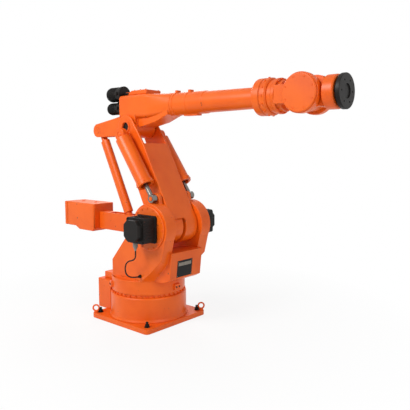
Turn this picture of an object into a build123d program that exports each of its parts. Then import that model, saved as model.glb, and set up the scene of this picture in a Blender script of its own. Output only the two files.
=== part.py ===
"""Six-axis industrial robot arm with a parallelogram linkage, a counterweight and two balancers.

Millimetres. The origin is the middle of the base plate's underside, +X is the way the arm
reaches, +Y is the robot's left and +Z is up.
"""

import math
import os

from build123d import *

os.makedirs("parts", exist_ok=True)

# Base
plate_side = 760.0
plate_thickness = 45.0
plate_corner_radius = 40.0
anchor_spacing = 640.0
anchor_hole_radius = 13.5
drum_radius = 352.0
drum_foot = 16.0
drum_height = 220.0
drum_edge = 10.0
bearing_step = 22.0
bearing_height = 24.0
box_reach = 138.0
box_width = 430.0
box_height = 285.0
box_corner = 14.0
cover_reach = 93.0
cover_width = 340.0
cover_height = 62.0
seat_gap = 0.3
eye_offset = 350.0
eye_radius = 27.5
eye_wire_radius = 7.5
eye_collar_radius = 20.0
eye_collar_height = 14.0

# Turntable and the two cheeks that carry the shoulder
slew_gap = 0.5
turntable_step = 12.0
turntable_height = 126.0
shoulder_x = 315.0
shoulder_z = 900.0
cheek_radius = 210.0
cheek_outer = 280.0
cheek_inner = 163.0
body_front = 330.0
body_back = 185.0
body_back_height = 150.0
front_knee_x = 449.0
front_knee_height = 181.0
flare_slope = 0.9
apron_half_width = 196.0
apron_root_x = 335.0
apron_chin_x = 425.0
apron_chin_rise = 10.0
apron_foot_x = 474.0
apron_foot_rise = 36.0
apron_top_x = 500.0
slot_floor = 210.0
slot_back_height = 430.0
slot_back_reach = 450.0
reducer_radius = 190.0
reducer_thickness = 16.0
reducer_edge = 6.0
motor_side = 214.0
motor_flange_side = 232.0
motor_flange_thickness = 18.0
motor_length = 125.0
motor_corner = 22.0
motor_cap_side = 176.0
motor_cap_length = 48.0
motor_cap_chamfer = 40.0
shaft_radius = 60.0
running_fit = 0.05

# Lower arm, a channel casting that is open to the back, and the elbow
arm_length = 970.5
arm_lean = 26.3
arm_half_width = 155.0
arm_wall = 22.0
arm_front_wall = 45.0
arm_hub_radius = 165.0
arm_front_depth = 140.0
arm_back_depth = 110.0
hub_gap = 10.0
ear_radius = 105.0
fork_depth = 235.0
elbow_pin_radius = 40.0
pin_recess = 10.0
moving_gap = 8.0

# Parallelogram: the crank at the shoulder, the rear link and the lever of the upper arm
crank_length = 450.0
crank_drop = 22.0
crank_hub_radius = 150.0
crank_half_height = 62.0
crank_belly = 105.0
link_y = -70.0
link_width = 80.0
link_bar_half_width = 38.0
link_bar_half_depth = 50.0
link_neck_radius = 30.0
link_eye_radius = 56.0
fork_cheek = 12.0
fork_side_gap = 3.0
fork_opening = 224.0
crank_fork_reach = 285.0
link_pin_radius = 28.0
open_pin_gap = 0.3
lever_nose_radius = 64.0
lever_root_half = 78.0
lever_root_rise = 96.0

# Counterweight
weight_front = 875.0
weight_length = 485.0
weight_width = 250.0
weight_height = 240.0
weight_rise = 20.0
weight_edge = 20.0
keel_drop = 30.0
keel_front = 24.0
keel_length = 220.0
keel_slope = 60.0
weight_plate = 46.0
weight_groove = 10.0

# Balancers
balancer_y = 235.0
balancer_foot_rise = 250.0
balancer_top_reach = 890.0
balancer_radius = 70.0
balancer_bore_radius = 57.0
rod_show = 135.0
balancer_start = 45.0
balancer_bore_start = 110.0
balancer_eye_radius = 58.0
balancer_eye_width = 50.0
balancer_cap_radius = 76.0
balancer_cap_length = 42.0
balancer_gland_radius = 52.0
balancer_top_pin_radius = 24.0
rod_radius = 20.0
rod_reach = 370.0
rod_eye_radius = 36.0
rod_eye_width = 44.0
balancer_pin_radius = 18.0
balancer_ear_radius = 44.0
balancer_ear_thickness = 38.0
pin_head = 5.0

# Upper arm
arm_rise = 182.0
housing_back = 120.0
housing_front = 225.0
housing_half_width = 125.0
housing_half_height = 104.0
housing_corner = 32.0
lug_radius = 98.0
chin_half_width = 92.0
chin_reach = 320.0
chin_rise = 36.0
chin_root = 140.0
chin_tip_drop = 88.0
chin_tip_back = 24.0
seat_lip = 2.0
taper_length = 270.0
tube_radius = 97.0
tube_step_x = 730.0
tube_step_radius = 92.0
tube_step_drop = 5.0
tube_end_radius = 80.0
tube_end_x = 1222.0
top_cover_length = 240.0
top_cover_width = 190.0
top_cover_height = 40.0
top_cover_back = -30.0
top_cover_slope = 24.0
collar_radius = 138.0
collar_end_x = 1380.0
collar_cone = 40.0
collar_edge = 10.0
collar_groove_x = 1319.0
collar_groove_width = 8.0
collar_groove_depth = 6.0
rear_motor_length = 200.0
rear_motor_flange = 30.0
rear_motor_step = 6.0
rear_motor_edge = 16.0
roll_motor_radius = 70.0
roll_motor_y = -54.0
roll_motor_rise = 126.0
bend_motor_radius = 58.0
bend_motor_y = -60.0
bend_motor_rise = -6.0
tool_motor_radius = 64.0
tool_motor_y = 74.0
tool_motor_rise = 62.0

# Wrist
wrist_x = 1660.0
wrist_ring_radius = 130.0
wrist_ring_step = 7.0
wrist_ring_flange = 30.0
wrist_ring_length = 69.0
wrist_disc_radius = 140.0
wrist_outer = 132.0
wrist_inner = 80.0
wrist_neck_half_height = 66.0
wrist_neck_radius = 112.0
wrist_neck_length = 36.0
wrist_gap_radius = 150.0
wrist_cover_radius = 134.0
wrist_cover_thickness = 14.0
wrist_cover_edge = 9.0
bend_pin_radius = 40.0
head_hub_radius = 118.0
head_half_width = 74.0
head_neck_half_height = 96.0
head_radius = 117.0
head_shoulder = 152.0
head_end = 238.0
head_edge = 10.0
flange_face = 285.0
flange_radius = 120.0
flange_thickness = 28.0
flange_hub_radius = 95.0
flange_bolt_circle = 160.0
flange_bolt_count = 6
flange_hole_radius = 6.0
flange_recess_radius = 50.0
flange_recess_depth = 8.0
flange_edge = 3.0

# Heights and pivots that follow from the sizes above
bearing_radius = drum_radius - bearing_step
turntable_radius = drum_radius - turntable_step
drum_top = plate_thickness + drum_height
bearing_top = drum_top + bearing_height
turntable_bottom = bearing_top + slew_gap
turntable_top = turntable_bottom + turntable_height
lean = math.radians(arm_lean)
elbow_x = shoulder_x - arm_length * math.sin(lean)
elbow_z = shoulder_z + arm_length * math.cos(lean)
arm_z = elbow_z + arm_rise
crank_pin_x = shoulder_x - crank_length
crank_pin_z = shoulder_z - crank_drop
lever_pin_x = elbow_x - crank_length
lever_pin_z = elbow_z - crank_drop
foot_z = shoulder_z + balancer_foot_rise
top_x = shoulder_x - balancer_top_reach * math.sin(lean)
top_z = shoulder_z + balancer_top_reach * math.cos(lean)
channel_half = arm_half_width - arm_wall
front_inner = arm_front_depth - arm_front_wall
fork_half = link_width / 2 + fork_side_gap
fork_outer = fork_half + fork_cheek
crank_outer = fork_outer - link_y
housing_start = elbow_x - housing_back
housing_end = elbow_x + housing_front
tube_start_x = housing_end + taper_length
pin_end = balancer_y + rod_eye_width / 2 + pin_head


def side_plane(y):
    """A plane seen from the robot's right, drawn in X and Z, whose extrusions run towards -Y."""
    return Plane.XZ.offset(-y)


def arm_plane(y):
    """The lower arm's own side plane: x runs from shoulder to elbow, and y to the back."""
    return Plane(
        origin=(shoulder_x, y, shoulder_z),
        x_dir=(-math.sin(lean), 0, math.cos(lean)),
        z_dir=(0, -1, 0),
    )


def cross_plane(x, z):
    """A plane across the upper arm, drawn in Y and Z, whose extrusions run forwards."""
    return Plane(origin=(x, 0, z), x_dir=(0, 1, 0), z_dir=(1, 0, 0))


def save(part, name):
    """Names a finished piece and writes its file."""
    part.label = name
    export_step(part, f"parts/{name}.step")


# The base: a square plate bolted to the floor under a round cast drum
with BuildPart() as base_plate:
    with BuildSketch():
        RectangleRounded(plate_side, plate_side, plate_corner_radius)
    extrude(amount=plate_thickness)
    with Locations((0, 0, plate_thickness)):
        with GridLocations(anchor_spacing, anchor_spacing, 2, 2):
            Hole(anchor_hole_radius)
save(base_plate.part, "base_plate")

with BuildPart() as base_drum:
    with BuildSketch(Plane.XZ):
        with BuildLine():
            Polyline(
                (0, plate_thickness),
                (drum_radius + drum_foot, plate_thickness),
                (drum_radius, plate_thickness + 2 * drum_foot),
                (drum_radius, drum_top - drum_edge),
                (drum_radius - drum_edge, drum_top),
                (0, drum_top),
                close=True,
            )
        make_face()
    revolve(axis=Axis.Z)
save(base_drum.part, "base_drum")

with BuildPart() as bearing_ring:
    with BuildSketch(Plane.XY.offset(drum_top)):
        Circle(bearing_radius)
    extrude(amount=bearing_height)
save(bearing_ring.part, "bearing_ring")

# The connector box behind the drum, and the step of the drive cover on it
with BuildPart() as connector_box:
    with BuildSketch(Plane.XY.offset(plate_thickness)):
        with Locations((-drum_radius, 0)):
            Rectangle(2 * box_reach, box_width)
        Circle(drum_radius + drum_foot + seat_gap, mode=Mode.SUBTRACT)
    extrude(amount=box_height)
    fillet(connector_box.edges().filter_by(Axis.Z).sort_by(Axis.X)[:2], box_corner)
save(connector_box.part, "connector_box")

with BuildPart() as drive_cover:
    with BuildSketch(Plane.XY.offset(plate_thickness + box_height)):
        with Locations((-drum_radius, 0)):
            Rectangle(2 * cover_reach, cover_width)
        Circle(drum_radius + drum_foot + seat_gap, mode=Mode.SUBTRACT)
    extrude(amount=cover_height)
    fillet(drive_cover.edges().filter_by(Axis.Z).sort_by(Axis.X)[:2], box_corner)
save(drive_cover.part, "drive_cover")

# Two lifting eyes screwed into opposite corners of the plate
eye_centre_z = plate_thickness + eye_collar_height + eye_radius
for eye_name, eye_sign in (("lifting_eye_right", -1), ("lifting_eye_left", 1)):
    eye_place = eye_sign * eye_offset
    with BuildPart() as lifting_eye:
        with BuildSketch(Plane.XY.offset(plate_thickness)):
            with Locations((eye_place, eye_place)):
                Circle(eye_collar_radius)
        extrude(amount=eye_collar_height)
        eye_plane = Plane(origin=(eye_place, eye_place, eye_centre_z), x_dir=(1, 1, 0), z_dir=(1, -1, 0))
        with Locations(eye_plane):
            Torus(eye_radius, eye_wire_radius)
    save(lifting_eye.part, eye_name)

# The swivel casting: a turntable with a flared body and two round-topped cheeks
with BuildPart() as swivel_casting:
    with BuildSketch(side_plane(cheek_outer)):
        with Locations((shoulder_x, shoulder_z)):
            Circle(cheek_radius)
        with BuildLine():
            Polyline(
                (-body_back, turntable_top),
                (body_front, turntable_top),
                (front_knee_x, turntable_top + front_knee_height),
                (shoulder_x + cheek_radius, shoulder_z),
                (shoulder_x - cheek_radius, shoulder_z),
                (-body_back, turntable_top + body_back_height),
                close=True,
            )
        make_face()
    extrude(amount=2 * cheek_outer)
    with BuildSketch(Plane.XZ):
        with BuildLine():
            Polyline(
                (0, turntable_top),
                (turntable_radius, turntable_top),
                (turntable_radius + flare_slope * (shoulder_z - turntable_top), shoulder_z),
                (turntable_radius + flare_slope * (shoulder_z - turntable_top), shoulder_z + cheek_radius),
                (0, shoulder_z + cheek_radius),
                close=True,
            )
        make_face()
    revolve(axis=Axis.Z, mode=Mode.INTERSECT)
    # The upright apron between the cheeks, in front
    with BuildSketch(side_plane(apron_half_width)):
        with BuildLine():
            Polyline(
                (0, turntable_top),
                (apron_root_x, turntable_top),
                (apron_chin_x, turntable_top + apron_chin_rise),
                (apron_foot_x, turntable_top + apron_foot_rise),
                (apron_top_x, shoulder_z - slot_floor),
                (0, shoulder_z - slot_floor),
                close=True,
            )
        make_face()
    extrude(amount=2 * apron_half_width)
    # The slot in which arm and crank move, deeper towards the back
    with BuildSketch(side_plane(cheek_inner)):
        with BuildLine():
            Polyline(
                (shoulder_x, shoulder_z - slot_floor),
                (shoulder_x + 2 * cheek_radius, shoulder_z - slot_floor),
                (shoulder_x + 2 * cheek_radius, shoulder_z + 2 * cheek_radius),
                (-slot_back_reach, shoulder_z + 2 * cheek_radius),
                (-slot_back_reach, slot_back_height),
                close=True,
            )
        make_face()
    extrude(amount=2 * cheek_inner, mode=Mode.SUBTRACT)
    with BuildSketch(Plane.XY.offset(turntable_bottom)):
        Circle(turntable_radius)
    extrude(amount=turntable_height)
    for ear_top in (cheek_inner + balancer_ear_thickness, -cheek_inner):
        with BuildSketch(side_plane(ear_top)):
            with Locations((shoulder_x, foot_z)):
                Circle(balancer_ear_radius)
            with BuildLine():
                Polyline(
                    (shoulder_x - 2 * balancer_ear_radius, shoulder_z),
                    (shoulder_x + 2 * balancer_ear_radius, shoulder_z),
                    (shoulder_x + balancer_ear_radius, foot_z),
                    (shoulder_x - balancer_ear_radius, foot_z),
                    close=True,
                )
            make_face()
            with Locations((shoulder_x, foot_z)):
                Circle(balancer_pin_radius, mode=Mode.SUBTRACT)
        extrude(amount=balancer_ear_thickness)
save(swivel_casting.part, "swivel_casting")

# Each cheek carries a gear reducer cover and a square servo motor with a chamfered end cap
reducer_outer = cheek_outer + reducer_thickness
for side_name, side in (("right", -1), ("left", 1)):
    outward = (0, side, 0)

    def shoulder_plane(distance, out=outward):
        return Plane(origin=(shoulder_x, out[1] * distance, shoulder_z), x_dir=(1, 0, 0), z_dir=out)

    with BuildPart() as reducer_cover:
        with BuildSketch(shoulder_plane(cheek_outer)):
            Circle(reducer_radius)
        extrude(amount=reducer_thickness)
        chamfer(reducer_cover.faces().sort_by(Axis.Y)[0 if side < 0 else -1].edges(), reducer_edge)
    save(reducer_cover.part, f"reducer_cover_{side_name}")

    with BuildPart() as shoulder_motor:
        with BuildSketch(shoulder_plane(reducer_outer)):
            RectangleRounded(motor_flange_side, motor_flange_side, motor_corner)
        extrude(amount=motor_flange_thickness)
        with BuildSketch(shoulder_plane(reducer_outer + motor_flange_thickness)):
            RectangleRounded(motor_side, motor_side, motor_corner)
        extrude(amount=motor_length)
        with BuildSketch(shoulder_plane(reducer_outer + motor_flange_thickness + motor_length)):
            cap = Rectangle(motor_cap_side, motor_cap_side)
            chamfer(cap.vertices(), motor_cap_chamfer)
        extrude(amount=motor_cap_length)
    save(shoulder_motor.part, f"shoulder_motor_{side_name}")

with BuildPart() as shoulder_shaft:
    with BuildSketch(side_plane(cheek_inner)):
        with Locations((shoulder_x, shoulder_z)):
            Circle(shaft_radius)
    extrude(amount=2 * cheek_inner)
save(shoulder_shaft.part, "shoulder_shaft")

# The lower arm: a channel between two side walls, a hub below, and an open fork above
far = 2 * arm_length
with BuildPart() as lower_arm:
    with BuildSketch(arm_plane(arm_half_width)):
        Circle(arm_hub_radius)
        with BuildLine():
            Polyline(
                (0, -arm_hub_radius),
                (arm_length - fork_depth, -arm_front_depth),
                (arm_length, -ear_radius),
                (arm_length, ear_radius),
                (arm_length - fork_depth, arm_back_depth),
                (0, arm_back_depth),
                close=True,
            )
        make_face()
        with Locations((arm_length, 0)):
            Circle(ear_radius)
    extrude(amount=2 * arm_half_width)
    # The bay beside the hub, in which the crank turns
    with BuildSketch(arm_plane(hub_gap)):
        Circle(crank_hub_radius + moving_gap)
        with Locations((0, -front_inner)):
            Rectangle(far, far, align=(Align.MIN, Align.MIN))
        Rectangle(far, far, align=(Align.MAX, Align.CENTER))
    extrude(amount=hub_gap + channel_half, mode=Mode.SUBTRACT)
    # The channel above the hub
    with BuildSketch(arm_plane(channel_half)):
        with Locations((0, -front_inner)):
            Rectangle(far, far, align=(Align.MIN, Align.MIN))
        Circle(arm_hub_radius, mode=Mode.SUBTRACT)
    extrude(amount=channel_half - hub_gap, mode=Mode.SUBTRACT)
    # The open front of the fork
    with BuildSketch(arm_plane(channel_half)):
        with Locations((arm_length - fork_depth, 0)):
            Rectangle(far, far, align=(Align.MIN, Align.CENTER))
    extrude(amount=2 * channel_half, mode=Mode.SUBTRACT)
    with BuildSketch(arm_plane(arm_half_width)):
        with Locations((arm_length, 0)):
            Circle(elbow_pin_radius + running_fit)
        Circle(shaft_radius + running_fit)
    extrude(amount=2 * arm_half_width, mode=Mode.SUBTRACT)
    # A pin each side for the balancers
    for pin_top in (pin_end, -arm_half_width):
        with BuildSketch(arm_plane(pin_top)):
            with Locations((balancer_top_reach, 0)):
                Circle(balancer_top_pin_radius)
        extrude(amount=pin_end - arm_half_width)
save(lower_arm.part, "lower_arm")

elbow_pin_end = arm_half_width - pin_recess
with BuildPart() as elbow_pin:
    with BuildSketch(side_plane(elbow_pin_end)):
        with Locations((elbow_x, elbow_z)):
            Circle(elbow_pin_radius)
    extrude(amount=2 * elbow_pin_end)
save(elbow_pin.part, "elbow_pin")

# The crank turns on the shoulder shaft beside the arm's hub and carries the counterweight
with BuildPart() as crank_arm:
    with BuildSketch(side_plane(-hub_gap)):
        with Locations((shoulder_x, shoulder_z)):
            Circle(crank_hub_radius)
    extrude(amount=crank_outer - hub_gap)
    with BuildSketch(side_plane(link_y + fork_outer)):
        with Locations((shoulder_x, shoulder_z)):
            Rectangle(weight_front, crank_half_height, align=(Align.MAX, Align.MIN))
            Rectangle(weight_front, crank_belly, align=(Align.MAX, Align.MAX))
        with Locations((crank_pin_x, crank_pin_z)):
            Circle(lever_nose_radius)
    extrude(amount=2 * fork_outer)
    with BuildSketch(side_plane(link_y + fork_half)):
        with Locations((crank_pin_x, crank_pin_z)):
            Rectangle(fork_opening, 2 * crank_hub_radius, align=(Align.MIN, Align.CENTER))
            Rectangle(crank_fork_reach, 2 * crank_hub_radius, align=(Align.MAX, Align.CENTER))
    extrude(amount=2 * fork_half, mode=Mode.SUBTRACT)
    with BuildSketch(side_plane(cheek_inner)):
        with Locations((shoulder_x, shoulder_z)):
            Circle(shaft_radius + running_fit)
        with Locations((crank_pin_x, crank_pin_z)):
            Circle(link_pin_radius + running_fit)
    extrude(amount=2 * cheek_inner, mode=Mode.SUBTRACT)
save(crank_arm.part, "crank_arm")

for pin_name, pin_x, pin_z in (
    ("crank_pin", crank_pin_x, crank_pin_z),
    ("lever_pin", lever_pin_x, lever_pin_z),
):
    with BuildPart() as link_pin:
        with BuildSketch(side_plane(link_y + fork_outer)):
            with Locations((pin_x, pin_z)):
                Circle(link_pin_radius)
        extrude(amount=2 * fork_outer)
    save(link_pin.part, pin_name)

weight_x = shoulder_x - weight_front
weight_bottom = shoulder_z + weight_rise - weight_height / 2
weight_side = link_y + weight_width / 2
with BuildPart() as counterweight:
    with BuildSketch(side_plane(weight_side)):
        with BuildLine():
            Polyline(
                (weight_x, weight_bottom + weight_height),
                (weight_x, weight_bottom),
                (weight_x - keel_front, weight_bottom - keel_drop),
                (weight_x - keel_front - keel_length, weight_bottom - keel_drop),
                (weight_x - keel_front - keel_length - keel_slope, weight_bottom),
                (weight_x - weight_length, weight_bottom),
                (weight_x - weight_length, weight_bottom + weight_height),
                close=True,
            )
        make_face()
    extrude(amount=weight_width)
    fillet(counterweight.edges().filter_by(Axis.Z).sort_by(Axis.X)[-2:], weight_edge)
    for groove_top in (weight_side, weight_side - weight_width + weight_groove):
        with BuildSketch(side_plane(groove_top)):
            with Locations((weight_x - weight_length + weight_plate, shoulder_z)):
                Rectangle(weight_groove, 2 * weight_height)
        extrude(amount=weight_groove, mode=Mode.SUBTRACT)
save(counterweight.part, "counterweight")

# The rear link runs beside the lower arm from the crank's fork to the lever's fork
link_plane = Plane(
    origin=(crank_pin_x, link_y, crank_pin_z),
    x_dir=(-math.sin(lean), 0, math.cos(lean)),
    z_dir=(0, -1, 0),
)
link_across = Plane(
    origin=(crank_pin_x, link_y, crank_pin_z),
    x_dir=(0, 1, 0),
    z_dir=(-math.sin(lean), 0, math.cos(lean)),
)
neck_start = link_pin_radius + moving_gap
bar_start = 2 * link_eye_radius
with BuildPart() as rear_link:
    with BuildSketch(link_across.offset(neck_start)):
        Circle(link_neck_radius)
    extrude(amount=arm_length - 2 * neck_start)
    with BuildSketch(link_across.offset(bar_start)):
        Ellipse(link_bar_half_width, link_bar_half_depth)
    extrude(amount=arm_length - 2 * bar_start)
    with BuildSketch(link_plane.offset(-link_width / 2)):
        Circle(link_eye_radius)
        with Locations((arm_length, 0)):
            Circle(link_eye_radius)
    extrude(amount=link_width)
    with BuildSketch(link_plane.offset(-link_width)):
        Circle(link_pin_radius + running_fit)
        with Locations((arm_length, 0)):
            Circle(link_pin_radius + open_pin_gap)
    extrude(amount=2 * link_width, mode=Mode.SUBTRACT)
save(rear_link.part, "rear_link")

# A balancer each side of the arm: a barrel hung on the arm's pin, and its rod on the cheek's ear
balancer_angle = math.atan2(top_x - shoulder_x, top_z - foot_z)
balancer_length = math.hypot(top_x - shoulder_x, top_z - foot_z) - rod_show
balancer_up = (math.sin(balancer_angle), 0, math.cos(balancer_angle))
balancer_down = (-math.sin(balancer_angle), 0, -math.cos(balancer_angle))
for side_name, side in (("right", -1), ("left", 1)):
    barrel_y = side * balancer_y
    barrel_plane = Plane(origin=(top_x, barrel_y, top_z), x_dir=(0, 1, 0), z_dir=balancer_down)
    rod_plane = Plane(origin=(shoulder_x, barrel_y, foot_z), x_dir=(0, 1, 0), z_dir=balancer_up)

    with BuildPart() as balancer_cylinder:
        with BuildSketch(side_plane(barrel_y + balancer_eye_width / 2)):
            with Locations((top_x, top_z)):
                Circle(balancer_eye_radius)
        extrude(amount=balancer_eye_width)
        with BuildSketch(barrel_plane.offset(balancer_start)):
            Circle(balancer_radius)
        extrude(amount=balancer_length - balancer_start)
        with BuildSketch(barrel_plane.offset(balancer_length - balancer_cap_length)):
            Circle(balancer_cap_radius)
        extrude(amount=balancer_cap_length)
        with BuildSketch(barrel_plane.offset(balancer_bore_start)):
            Circle(balancer_bore_radius)
        extrude(amount=balancer_length - balancer_bore_start - balancer_cap_length, mode=Mode.SUBTRACT)
        with BuildSketch(barrel_plane.offset(balancer_length - balancer_cap_length)):
            Circle(balancer_gland_radius)
        extrude(amount=balancer_cap_length, mode=Mode.SUBTRACT)
        with BuildSketch(side_plane(barrel_y + balancer_eye_width)):
            with Locations((top_x, top_z)):
                Circle(balancer_top_pin_radius + running_fit)
        extrude(amount=2 * balancer_eye_width, mode=Mode.SUBTRACT)
    save(balancer_cylinder.part, f"balancer_cylinder_{side_name}")

    with BuildPart() as balancer_rod:
        with BuildSketch(side_plane(barrel_y + rod_eye_width / 2)):
            with Locations((shoulder_x, foot_z)):
                Circle(rod_eye_radius)
        extrude(amount=rod_eye_width)
        with BuildSketch(rod_plane):
            Circle(rod_radius)
        extrude(amount=rod_reach)
        with BuildSketch(side_plane(barrel_y + rod_eye_width)):
            with Locations((shoulder_x, foot_z)):
                Circle(balancer_pin_radius + running_fit)
        extrude(amount=2 * rod_eye_width, mode=Mode.SUBTRACT)
    save(balancer_rod.part, f"balancer_rod_{side_name}")

    pin_top = pin_end if side > 0 else -cheek_inner
    with BuildPart() as balancer_pin:
        with BuildSketch(side_plane(pin_top)):
            with Locations((shoulder_x, foot_z)):
                Circle(balancer_pin_radius)
        extrude(amount=pin_end - cheek_inner)
    save(balancer_pin.part, f"balancer_pin_{side_name}")

# The upper arm's rear casting: gearbox housing, elbow lug and the lever of the parallelogram
with BuildPart() as elbow_housing:
    with BuildSketch(cross_plane(housing_start, arm_z)):
        RectangleRounded(2 * housing_half_width, 2 * housing_half_height, housing_corner)
    extrude(amount=housing_end - housing_start)
    with BuildSketch(cross_plane(housing_end, arm_z)):
        RectangleRounded(2 * housing_half_width, 2 * housing_half_height, housing_corner)
    with BuildSketch(cross_plane(tube_start_x, arm_z)):
        Circle(tube_radius + seat_lip)
    loft()
    with BuildSketch(side_plane(housing_half_width)):
        with Locations((elbow_x, elbow_z)):
            Circle(lug_radius)
            Rectangle(2 * lug_radius, arm_rise, align=(Align.CENTER, Align.MIN))
    extrude(amount=2 * housing_half_width)
    # The chin under the housing, which runs out along the tube
    with BuildSketch(side_plane(chin_half_width)):
        with BuildLine():
            Polyline(
                (elbow_x, elbow_z),
                (elbow_x + chin_root, elbow_z),
                (elbow_x + chin_reach, elbow_z + chin_rise),
                (tube_start_x - chin_tip_back, arm_z - chin_tip_drop),
                (tube_start_x - chin_tip_back, arm_z),
                (elbow_x, arm_z),
                close=True,
            )
        make_face()
    extrude(amount=2 * chin_half_width)
    # The lever to the rear link, forked at its end
    with BuildSketch(side_plane(link_y + fork_outer)):
        with Locations((lever_pin_x, lever_pin_z)):
            Circle(lever_nose_radius)
        with BuildLine():
            Polyline(
                (lever_pin_x, lever_pin_z - lever_nose_radius),
                (elbow_x, elbow_z - lever_root_half),
                (elbow_x, elbow_z + lever_root_rise),
                (housing_start, elbow_z + lever_root_rise),
                (lever_pin_x, lever_pin_z + lever_nose_radius),
                close=True,
            )
        make_face()
    extrude(amount=2 * fork_outer)
    with BuildSketch(side_plane(link_y + fork_half)):
        with Locations((lever_pin_x, lever_pin_z)):
            Rectangle(2 * fork_opening, 4 * lever_nose_radius)
    extrude(amount=2 * fork_half, mode=Mode.SUBTRACT)
    with BuildSketch(side_plane(housing_half_width)):
        with Locations((elbow_x, elbow_z)):
            Circle(elbow_pin_radius + running_fit)
        with Locations((lever_pin_x, lever_pin_z)):
            Circle(link_pin_radius)
    extrude(amount=2 * housing_half_width, mode=Mode.SUBTRACT)
save(elbow_housing.part, "elbow_housing")

cover_bottom = arm_z + housing_half_height
cover_start = elbow_x + top_cover_back
with BuildPart() as top_cover:
    with BuildSketch(side_plane(top_cover_width / 2)):
        with BuildLine():
            Polyline(
                (cover_start, cover_bottom),
                (cover_start + top_cover_length, cover_bottom),
                (cover_start + top_cover_length, cover_bottom + top_cover_height),
                (cover_start + 2 * top_cover_slope, cover_bottom + top_cover_height),
                (cover_start, cover_bottom + top_cover_height - top_cover_slope),
                close=True,
            )
        make_face()
    extrude(amount=top_cover_width)
    fillet(top_cover.edges().filter_by(Axis.Z), box_corner)
save(top_cover.part, "top_cover")

with BuildPart() as forearm:
    with BuildSketch(side_plane(0)):
        with BuildLine():
            Polyline(
                (tube_start_x, arm_z),
                (tube_start_x, arm_z + tube_radius),
                (tube_step_x, arm_z + tube_step_radius),
                (tube_step_x + tube_step_drop, arm_z + tube_step_radius - tube_step_drop),
                (tube_end_x, arm_z + tube_end_radius),
                (tube_end_x, arm_z),
                close=True,
            )
        make_face()
    revolve(axis=Axis((tube_start_x, 0, arm_z), (1, 0, 0)))
save(forearm.part, "forearm")

with BuildPart() as wrist_collar:
    with BuildSketch(side_plane(0)):
        with BuildLine():
            Polyline(
                (tube_end_x, arm_z),
                (tube_end_x, arm_z + tube_end_radius),
                (tube_end_x + collar_cone, arm_z + collar_radius),
                (collar_groove_x, arm_z + collar_radius),
                (collar_groove_x, arm_z + collar_radius - collar_groove_depth),
                (collar_groove_x + collar_groove_width, arm_z + collar_radius - collar_groove_depth),
                (collar_groove_x + collar_groove_width, arm_z + collar_radius),
                (collar_end_x - collar_edge, arm_z + collar_radius),
                (collar_end_x, arm_z + collar_radius - collar_edge),
                (collar_end_x, arm_z),
                close=True,
            )
        make_face()
    revolve(axis=Axis((tube_end_x, 0, arm_z), (1, 0, 0)))
save(wrist_collar.part, "wrist_collar")

# Three wrist motors on the rear face of the housing
for motor_name, motor_y, motor_rise, motor_radius in (
    ("roll_motor", roll_motor_y, roll_motor_rise, roll_motor_radius),
    ("bend_motor", bend_motor_y, bend_motor_rise, bend_motor_radius),
    ("tool_motor", tool_motor_y, tool_motor_rise, tool_motor_radius),
):
    rear_plane = Plane(
        origin=(housing_start, motor_y, arm_z + motor_rise), x_dir=(0, 1, 0), z_dir=(-1, 0, 0)
    )
    with BuildPart() as wrist_motor:
        with BuildSketch(rear_plane):
            Circle(motor_radius)
        extrude(amount=rear_motor_flange)
        with BuildSketch(rear_plane.offset(rear_motor_flange)):
            Circle(motor_radius - rear_motor_step)
        extrude(amount=rear_motor_length - rear_motor_flange)
        fillet(wrist_motor.faces().sort_by(Axis.X)[0].edges(), rear_motor_edge)
    save(wrist_motor.part, motor_name)

# The wrist: a roll ring with a fork, the bending head between its arms, and the tool flange
ring_start = collar_end_x + slew_gap
ring_end = ring_start + wrist_ring_length
with BuildPart() as wrist_fork:
    with BuildSketch(cross_plane(ring_start, arm_z)):
        Circle(wrist_ring_radius - wrist_ring_step)
    extrude(amount=wrist_ring_length)
    with BuildSketch(cross_plane(ring_end - wrist_ring_flange, arm_z)):
        Circle(wrist_ring_radius)
    extrude(amount=wrist_ring_flange)
    with BuildSketch(cross_plane(ring_end, arm_z)):
        Circle(wrist_neck_radius)
    extrude(amount=wrist_neck_length)
    with BuildSketch(side_plane(wrist_outer)):
        with Locations((wrist_x, arm_z)):
            Circle(wrist_disc_radius)
            Rectangle(wrist_x - ring_end, 2 * wrist_neck_half_height, align=(Align.MAX, Align.CENTER))
    extrude(amount=2 * wrist_outer)
    with BuildSketch(side_plane(wrist_inner)):
        with Locations((wrist_x, arm_z)):
            Circle(wrist_gap_radius)
    extrude(amount=2 * wrist_inner, mode=Mode.SUBTRACT)
    with BuildSketch(side_plane(2 * wrist_outer)):
        with Locations((wrist_x, arm_z)):
            Circle(bend_pin_radius)
    extrude(amount=4 * wrist_outer, mode=Mode.SUBTRACT)
save(wrist_fork.part, "wrist_fork")

with BuildPart() as bend_pin:
    with BuildSketch(side_plane(wrist_outer)):
        with Locations((wrist_x, arm_z)):
            Circle(bend_pin_radius)
    extrude(amount=2 * wrist_outer)
save(bend_pin.part, "bend_pin")

for side_name, side in (("right", -1), ("left", 1)):
    cover_plane = Plane(
        origin=(wrist_x, side * wrist_outer, arm_z), x_dir=(1, 0, 0), z_dir=(0, side, 0)
    )
    with BuildPart() as wrist_cover:
        with BuildSketch(cover_plane):
            Circle(wrist_cover_radius)
        extrude(amount=wrist_cover_thickness)
        fillet(wrist_cover.faces().sort_by(Axis.Y)[0 if side < 0 else -1].edges(), wrist_cover_edge)
    save(wrist_cover.part, f"wrist_cover_{side_name}")

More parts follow.
